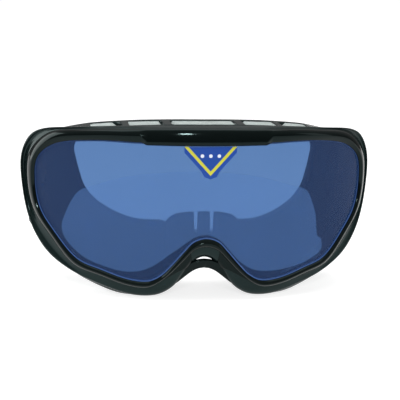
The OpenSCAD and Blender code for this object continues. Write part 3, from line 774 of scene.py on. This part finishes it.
def labelOutline():
    half, top, h = label["half"], label["top"], label["height"]
    corners = [(0, -1), (0.24 * half, -0.93), (0.34 * half, -0.77), (half, -0.18), (half, 0),
               (0, 0)]
    right = [(x0 + (x1 - x0) * k / 6, top + h * (z0 + (z1 - z0) * k / 6))
             for (x0, z0), (x1, z1) in zip(corners, corners[1:]) for k in range(6)] + [(0, top)]
    left = [(-x, z) for x, z in right[-2:0:-1]]
    return np.array([(label["x"] + x, z) for x, z in right + left])


labelPiece = curvedSheet("lensLabel", labelOutline(), (label["x"], 72.0), -0.15, -0.005,
                         buildLabelMaterial(), rings=8, edge=0.03)
fitPiece(labelPiece, "lens_label")
print("lens, film and label built")

# Bar across the nose arch: x, lower edge, upper edge
noseBar = {"rows": [(0, 15, 19.9), (3, 14.6, 19.7), (6, 13.2, 18.8), (9, 10.9, 17.1),
                    (12, 8.4, 13.8), (14.5, 6.4, 10.6)],
           "thick": 3.0, "ahead": 2.4, "slant": 2.4, "rib": 0.5}


def buildNoseBar():
    known, lows, highs = np.array(noseBar["rows"], float).T
    right = [0, 0.4, 0.75, 1.4, 3, 4.5, 6, 7.5, 9, 10.5, 12, 13.3, 14.5]
    sections = []
    for x in [-v for v in right[:0:-1]] + right:
        low = np.interp(abs(x), known, lows)
        high = np.interp(abs(x), known, highs)
        mid = (low + high) / 2
        top = frontY(x, 0) + seatDepth + noseBar["ahead"]
        foot = top + noseBar["slant"]
        rib = noseBar["rib"] if abs(x) < 0.5 else 0
        sections.append([
            (x, foot + 1.5, low), (x, (foot + 1.5 + top + noseBar["thick"]) / 2, mid),
            (x, top + noseBar["thick"], high - 0.2), (x, top + 2.6, high), (x, top + 1.1, high),
            (x, top + 0.5, high - 0.25), (x, top + 0.15, high - 0.8),
            (x, (top + foot) / 2 - 0.1 - rib, mid), (x, foot - 0.55 - rib, low + 1.1),
            (x, foot - 0.3, low + 0.4), (x, foot + 0.15, low)])
    return sectionSolid("noseBar", sections, rimBlack)


fitPiece(buildNoseBar(), "nose_bar", 2)

# Soft flap over the nose: it stands on the inner face of the arch, with two slits open at its top
noseFlap = {"half": 19.0, "rise": 20.0, "back": 18.0, "thick": 1.6, "clear": 0.3,
            "slitX": 4.05, "slitWidth": 1.9, "slitShift": 0.6, "slitDepth": 11.0,
            "edge": [(0, 0), (0.45, 0.2), (0.72, 1.2), (0.87, 2.5), (1, 6)]}   # drop at its top
faceRadius = (goggle["width"] / 2) ** 2 / (2 * templeSweep)


def buildNoseFlap():
    f = noseFlap
    places = np.arange(-20, 120) / 20
    seat = inset(mix(curveAt(skirtEdge, places), curveAt(rearEdge, places), 0.86),
                 goggle["wall"] + f["clear"])[20:]
    top = seat[0, 1] + f["rise"]
    bottom = top - f["slitDepth"]
    shares, drops = np.array(f["edge"], float).T
    right = [0.0, 1.2, 2.1, "a", "b", 6.2, 7.3, 8.8, 10.6, 12.5, 14.5, 16.5, 18.2, f["half"]]
    columns = [(-1, c) for c in right[:0:-1]] + [(1, c) for c in right]
    below, above = [0, 0.06, 0.5, 0.94], [0, 0.08, 0.35, 0.65, 0.92, 1]
    slitRow = len(below)
    front = np.zeros((len(below) + len(above), len(columns), 3))
    back = np.zeros_like(front)
    for j in range(len(front)):
        u = above[j - slitRow] if j >= slitRow else 0
        width = f["slitWidth"] * (0.3 + 0.2 * u)
        for i, (side, c) in enumerate(columns):
            mid = f["slitX"] + side * f["slitShift"]
            x = {"a": mid - width, "b": mid + width}.get(c, c)
            low = np.interp(x, seat[:, 0], seat[:, 1])
            high = top - np.interp(x / f["half"], shares, drops)
            z = bottom + (high - bottom) * u if j >= slitRow else low + (bottom - low) * below[j]
            for sheet, r in ((front, faceRadius + f["thick"]), (back, faceRadius)):
                sheet[j, i] = (side * x, f["back"] + faceRadius - sqrt(r ** 2 - x * x), z)
    slits = {i for i in range(len(columns) - 1) if {columns[i][1], columns[i + 1][1]} == {"a", "b"}}
    return gridPlate("noseFlap", front, back, noseRubber,
                     skip=lambda j, i: i in slits and j >= slitRow)


fitPiece(buildNoseFlap(), "nose_flap", 2)

# Filter foam behind the vents, which swells into them up to a small depth
ventStrip = {"gap": 0.15, "thick": 2.5, "sunk": 0.3, "edge": 0.3, "rise": 1.1,
             "steps": 16, "rows": 24, "coarse": 8}


def inVents(points):
    inside = np.zeros(points.shape[:2])
    x, y = np.abs(points[..., 0]), points[..., 1]
    upper = points[..., 2] > goggle["height"] / 2
    for above, spans, ends in frameShell["vents"]:
        for span in spans:
            side = np.minimum(x - min(span), max(span) - x)
            along = np.minimum(y - skirtY(x) - ends[0], rearY(x) - ends[1] - y)
            deep = np.clip((np.minimum(side, along) - ventStrip["edge"]) / ventStrip["rise"], 0, 1)
            inside = np.maximum(inside, np.where(upper == above, deep * deep * (3 - 2 * deep), 0))
    return inside


def buildVentStrip(name, cadNode, start, end, lines):
    places = np.linspace(start, end, round((end - start) * ventStrip["steps"]))
    n = ventStrip["coarse"]
    around = np.arange((floor(start) - 1) * n, (ceil(end) + 1) * n) / n
    skirt, rear = curveAt(skirtEdge, around), curveAt(rearEdge, around)

    def layer(lift):
        rings = [wallRing(skirt, rear, s, lift) for s in np.linspace(*lines, ventStrip["rows"])]
        return np.stack([np.stack([np.interp(places, around, r[:, k]) for k in range(3)], 1)
                         for r in rings])

    lift = goggle["wall"] + ventStrip["gap"]
    front = layer(lift)
    front = mix(front, layer(ventStrip["sunk"]), inVents(front)[..., None])
    piece = gridPlate(name, front, layer(lift + ventStrip["thick"]), ventFoam)
    fitPiece(piece, cadNode)


# Name, CAD solid, start and end in spans of the outline, and shares of the wall's depth
brow = len(rearEdge) - 1
for strip in (
        ("ventFoamCentre", "vent_foam_center", brow - 9.8 / 3, brow + 9.8 / 3, (0.0, 0.88)),
        ("ventFoamRight", "vent_foam_right", brow - 14 / 3, brow - 10 / 3, (0.0, 0.88)),
        ("ventFoamLeft", "vent_foam_left", brow + 10 / 3, brow + 14 / 3, (0.0, 0.88)),
        ("lowerVentFoamRight", "lower_vent_foam_right", 19 / 3, 25 / 3, (0.05, 0.84)),
        ("lowerVentFoamLeft", "lower_vent_foam_left", 2 * brow - 25 / 3, 2 * brow - 19 / 3,
         (0.05, 0.84))):
    buildVentStrip(*strip)
print("nose parts and vent foam built")

# Face cushion: a ring of foam, swelled by a cloth simulation, with fleece on its face
cushion = {"steps": 4, "inset": 2.0, "innerGap": 0.6, "thick": 12.0, "fleece": 1.2, "seat": 0.2,
           "lowest": 0.6, "bulge": 0.8, "seatRows": (0, 1, 2, 18, 19), "frames": 18, "cap": 0.9,
           "lowestSwelled": 0.4,
           "cloth": {"use_pressure": True, "uniform_pressure_force": 3.0, "quality": 6,
                     "mass": 0.3, "tension_stiffness": 40.0, "compression_stiffness": 40.0,
                     "bending_stiffness": 2.0, "vertex_group_mass": "seat"}}


def cushionRings():
    places = roundPlaces(rearEdge, cushion["steps"])
    outer = inset(curveAt(rearEdge, places), cushion["inset"])
    inner = inset(curveAt(openingEdge, places), cushion["innerGap"])
    t, seat, bulge = cushion["thick"], cushion["seat"], cushion["bulge"]
    top = t - cushion["fleece"]
    profile = [
        (0.5, seat), (0.2, seat), (outer, seat), (inset(outer, -bulge * 0.7), t * 0.15),
        (inset(outer, -bulge), t * 0.35), (inset(outer, -bulge * 0.6), t * 0.6),
        (inset(outer, 0.2), t * 0.8), (inset(outer, 1.2), top),
        (0.18, t - 0.5), (0.34, t - 0.1), (0.5, t), (0.66, t - 0.1), (0.82, t - 0.5),
        (inset(inner, -1.2), top), (inset(inner, -0.2), t * 0.8),
        (inset(inner, bulge * 0.6), t * 0.6), (inset(inner, bulge), t * 0.35),
        (inset(inner, bulge * 0.7), t * 0.15), (inner, seat), (0.8, seat)]
    # a bare share lies between the outer and the inner outline
    return [rearRing(mix(outer, inner, o) if isinstance(o, float) else o, d, cushion["lowest"])
            for o, d in profile]


def swellCushion(obj, columns):
    rest = vertexArray(obj.data)
    pins = obj.vertex_groups.new(name="seat")
    pins.add([j * columns + i for j in cushion["seatRows"] for i in range(columns)], 1.0, "REPLACE")
    cloth = obj.modifiers.new("swell", "CLOTH")
    for key, value in cushion["cloth"].items():
        setattr(cloth.settings, key, value)
    cloth.settings.effector_weights.gravity = 0.0
    for f in range(1, cushion["frames"] + 1):
        scene.frame_set(f)
    dg = bpy.context.evaluated_depsgraph_get()
    moved = vertexArray(obj.evaluated_get(dg).to_mesh())
    obj.modifiers.remove(cloth)
    scene.frame_set(1)
    shift = moved - rest
    far = np.linalg.norm(shift, axis=1)
    cap = cushion["cap"] * mm
    scale = np.where(far > 1e-9, cap * np.tanh(far / cap) / np.maximum(far, 1e-9), 0)
    rest += shift * scale[:, None]
    rest[:, 2] = np.maximum(rest[:, 2], cushion["lowestSwelled"] * mm)
    obj.data.vertices.foreach_set("co", rest.ravel())
    obj.data.update()
    print("cushion swelled by at most", round(float((far * scale).max()) / mm, 2), "mm")


foamRings = cushionRings()
foamPiece = ringShell("faceFoam", foamRings, cushionFoam)
swellCushion(foamPiece, len(foamRings[0]))
fitPiece(foamPiece, "face_foam", 1)

# Fleece on the foam's rings at the face, with the height of each row above the foam
fleece = {"rings": (7, 14), "lifts": [0.1, 0.9, 1.2, 1.25, 1.2, 0.9, 0.1], "under": 0.05}


def buildFleece():
    shape = (len(foamRings), len(foamRings[0]), 3)
    co, normals = (vertexArray(foamPiece.data, key).reshape(shape)[slice(*fleece["rings"])]
                   for key in ("co", "normal"))
    lifts = np.array(fleece["lifts"])[:, None, None]
    stack = np.concatenate([co + normals * lifts * mm, (co + normals * fleece["under"] * mm)[::-1]])
    return ringShell("faceFleece", list((stack - np.array([0, shiftY, 0])) / mm), fleeceBlack)


fitPiece(buildFleece(), "face_fleece", 1)
print("cushion built")

# Strap: doubled-back end, turn round the clip's bar, straight run, rear loop on the table
strap = {"width": 24.0, "thick": 1.6, "droop": 18.0, "barReach": 24.0, "straight": 46.0,
         "loopReach": 34.0, "landAt": 52.0, "lean": 86.0, "leanFrom": 8.0, "leanOver": 66.0,
         "tail": 38.0, "gap": 0.3, "fit": 0.15, "clipThick": 2.2, "clipBar": 3.0, "round": 0.7,
         "ribs": 12}
barX = (clipBox[0].x + clipBox[1].x) / 2 / mm
droop = radians(strap["droop"])
runDir = np.array([0, cos(droop), -sin(droop)])
runUp = np.array([0, sin(droop), cos(droop)])
layerStep = (strap["thick"] + strap["gap"]) / 2
wrapRadius = hypot(strap["clipBar"], strap["clipThick"]) / 2 + strap["thick"] / 2 + strap["fit"]
runStart = strap["barReach"] + 10
runEnd = strap["barReach"] + strap["straight"]
endLift = pivot[2] - runEnd * sin(droop) - strap["width"] / 2 * cos(droop)
liftBend = 2 - tan(droop) * strap["loopReach"] * radians(strap["landAt"]) / endLift


def ease(u):
    v = min(max(u, 0), 1)
    return v * v * (3 - 2 * v)


def onRun(s, x):
    return np.array([x, 0, 0]) + pivot + runDir * s


def leanAt(q):
    return radians(strap["lean"]) * ease((q - strap["leanFrom"]) / strap["leanOver"])


# The loop leaves the straight run at its slope and comes down level where it lands
def loopPoint(q):
    u = min(q / strap["landAt"], 1)
    turn = radians(q)
    lift = endLift * (1 - u) ** 2 * (1 + liftBend * u)
    fall = endLift / radians(strap["landAt"]) * (1 - u) * (2 - liftBend + 3 * liftBend * u)
    pitch = atan(fall / hypot((barX + layerStep) * sin(turn), strap["loopReach"] * cos(turn)))
    w, t = strap["width"] / 2, strap["thick"] / 2
    return np.array([(barX + layerStep) * cos(turn),
                     pivot[1] + runEnd * cos(droop) + strap["loopReach"] * sin(turn),
                     w * cos(leanAt(q)) * cos(pitch) + t * sin(leanAt(q)) + lift])


def unit(v):
    return v / np.linalg.norm(v)


def bandStations():
    tailEnd = strap["barReach"] + strap["tail"]
    out = [(onRun(s, barX - layerStep), runUp, np.array([-1.0, 0, 0]))
           for s in np.linspace(tailEnd, runStart, 10)]
    for a in np.radians(np.linspace(-90, 90, 13)):
        place = onRun(strap["barReach"] - wrapRadius * cos(a), barX + wrapRadius * sin(a))
        out.append((place, runUp, np.array([sin(a), 0, 0]) - runDir * cos(a)))
    out += [(onRun(s, barX + layerStep), runUp, np.array([1.0, 0, 0]))
            for s in np.linspace(runStart, runEnd, 12)]
    for q in np.linspace(0, 90, 55)[1:]:
        d = unit(loopPoint(q + 1) - loopPoint(q - 1))
        flat = unit(np.array([d[1], -d[0], 0]))
        up = np.cross(flat, d)
        c, s = cos(leanAt(q)), sin(leanAt(q))
        out.append((loopPoint(q), up * c + flat * s, flat * c - up * s))
    mirror = np.array([-1, 1, 1])
    return out + [tuple(v * mirror for v in st) for st in reversed(out[:-1])]


def bandSection():
    w, t, e = strap["width"] / 2, strap["thick"] / 2, strap["round"]
    corner = [(cos(a), sin(a)) for a in np.radians([0, 30, 60, 90])]
    half = [(w - e + e * c, -(t - e) - e * s) for c, s in reversed(corner)]
    half += [(w - e + e * c, (t - e) + e * s) for c, s in corner]
    half += [(x, t) for x in np.linspace(w - e, -w + e, 13)[1:-1]]
    return half + [(-x, -z) for x, z in half]


def buildBand():
    stations, section = bandStations(), bandSection()
    obj = sectionSolid("strapBand", [[p + u * a + f * b for a, b in section]
                                     for p, u, f in stations], strapElastic, "strap")
    steps = np.diff([s[0] for s in stations], axis=0)
    run = np.concatenate([[0], np.cumsum(np.linalg.norm(steps, axis=1))])
    uv = obj.data.uv_layers.new(name="weave")
    for loop in obj.data.loops:
        row, k = divmod(loop.vertex_index, len(section))
        across = (section[k][0] / strap["width"] + 0.5) * strap["ribs"]
        uv.data[loop.index].uv = (run[row], across)
    fitPiece(obj, "strap_band")
    print("strap built, band length", round(float(run[-1])), "mm")


buildBand()

# Clips, studs, caps and sliders keep their CAD shape, with their edges rounded
hardware = {"clip": (clipPlastic, 0.45), "clip_stud": (studPlastic, 0.35),
            "stud_cap": (studPlastic, 0.25), "slider": (clipPlastic, 0.4)}


def finishHardware(obj, material, width):
    obj.data.materials.clear()
    obj.data.materials.append(material)
    obj.data.polygons.foreach_set("use_smooth", [True] * len(obj.data.polygons))
    weld = obj.modifiers.new("weld", "WELD")
    weld.merge_threshold = 1e-6
    bevel = obj.modifiers.new("edges", "BEVEL")
    bevel.width = width * mm
    bevel.segments = 3
    bevel.limit_method = "ANGLE"
    bevel.angle_limit = radians(35)
    bevel.harden_normals = True


for kind, values in hardware.items():
    for side in ("_left", "_right"):
        finishHardware(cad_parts[kind + side], *values)

# Stage: pale floor, soft lights and the camera
stage = {"floor": 40.0, "floorDrop": 0.0001, "floorTone": 0.5, "floorGlow": 0.78,
         "worldFront": 0.15, "worldTop": 0.6}


def buildFloor():
    mesh = bpy.data.meshes.new("floor")
    h, z = stage["floor"] / 2, -stage["floorDrop"]
    mesh.from_pydata([(-h, -h, z), (h, -h, z), (h, h, z), (-h, h, z)], [], [(0, 1, 2, 3)])
    obj = addObject("floor", mesh)
    t = stage["floorTone"]
    paper = newMaterial("floorPaper", {
        "Base Color": (t, t, t, 1.0), "Roughness": 0.9, "Specular IOR Level": 0.0,
        "Emission Color": (1, 1, 1, 1), "Emission Strength": stage["floorGlow"]})
    mesh.materials.append(paper[0])


def buildWorld():
    world = bpy.data.worlds.new("studio")
    scene.world = world
    world.use_nodes = True
    tree = world.node_tree
    split = node(tree, "SeparateXYZ", {0: node(tree, "TexCoord").outputs["Generated"]})
    up = node(tree, "MapRange", {
        "Value": split.outputs[2], "From Min": 0.1, "From Max": 0.9,
        "To Min": stage["worldFront"], "To Max": stage["worldTop"]})
    link(tree, up.outputs[0], tree.nodes["Background"].inputs["Color"])


def areaLight(name, place, aim, size, power):
    data = bpy.data.lights.new(name, "AREA")
    data.shape = "RECTANGLE"
    data.size, data.size_y = size
    data.energy = power
    obj = addObject(name, data)
    obj.location = place
    obj.rotation_mode = "QUATERNION"
    obj.rotation_quaternion = (Vector(aim) - Vector(place)).to_track_quat("-Z", "Y")
    obj.visible_transmission = False   # no light spots thrown through the lens


buildFloor()
buildWorld()
lights = {   # place, aim, size and power
    "overhead": ((0, 0.15, 1.6), (0, 0, 0), (1.6, 1.2), 14),
    "frontKey": ((-0.09, -1.15, 0.56), (0, -0.08, 0.08), (0.12, 0.09), 3.6),
    "leftBox": ((-1.05, 0.3, 0.4), (0, 0, 0.05), (0.7, 0.9), 8),
    "rightBox": ((1.1, -0.4, 0.45), (0, 0, 0.05), (0.3, 0.7), 0.8),
}
for name, values in lights.items():
    areaLight(name, *values)

view = {"azimuth": -7.1, "elevation": 10.0, "distance": 0.7, "pixelsPerMm": 1.958,
        "centre": (202.0, 207.0), "roll": 0.95, "target": (0.0, 20.0, 44.1), "pixels": 400}


def buildCamera():
    a, e = radians(view["azimuth"]), radians(view["elevation"])
    back = Vector((sin(a) * cos(e), -cos(a) * cos(e), sin(e)))
    right = (-back).cross(Vector((0, 0, 1))).normalized()
    up = right.cross(-back)
    target = Vector(view["target"]) * mm + Vector((0, shiftY, 0))
    data = bpy.data.cameras.new("camera")
    data.sensor_width = 36
    focal = view["pixelsPerMm"] * view["distance"] / mm
    data.lens = data.sensor_width * focal / view["pixels"]
    data.clip_start, data.clip_end = 0.01, 60
    data.shift_x = (view["pixels"] / 2 - view["centre"][0]) / view["pixels"]
    data.shift_y = (view["centre"][1] - view["pixels"] / 2) / view["pixels"]
    cam = addObject("camera", data)
    cam.rotation_mode = "QUATERNION"
    turn = Matrix((right, up, back)).transposed()
    roll = Matrix.Rotation(radians(view["roll"]), 3, "Z")
    cam.rotation_quaternion = (turn @ roll).to_quaternion()
    cam.location = target + back * view["distance"]
    scene.camera = cam


buildCamera()
scene.view_settings.view_transform = "Standard"
print("stage built")
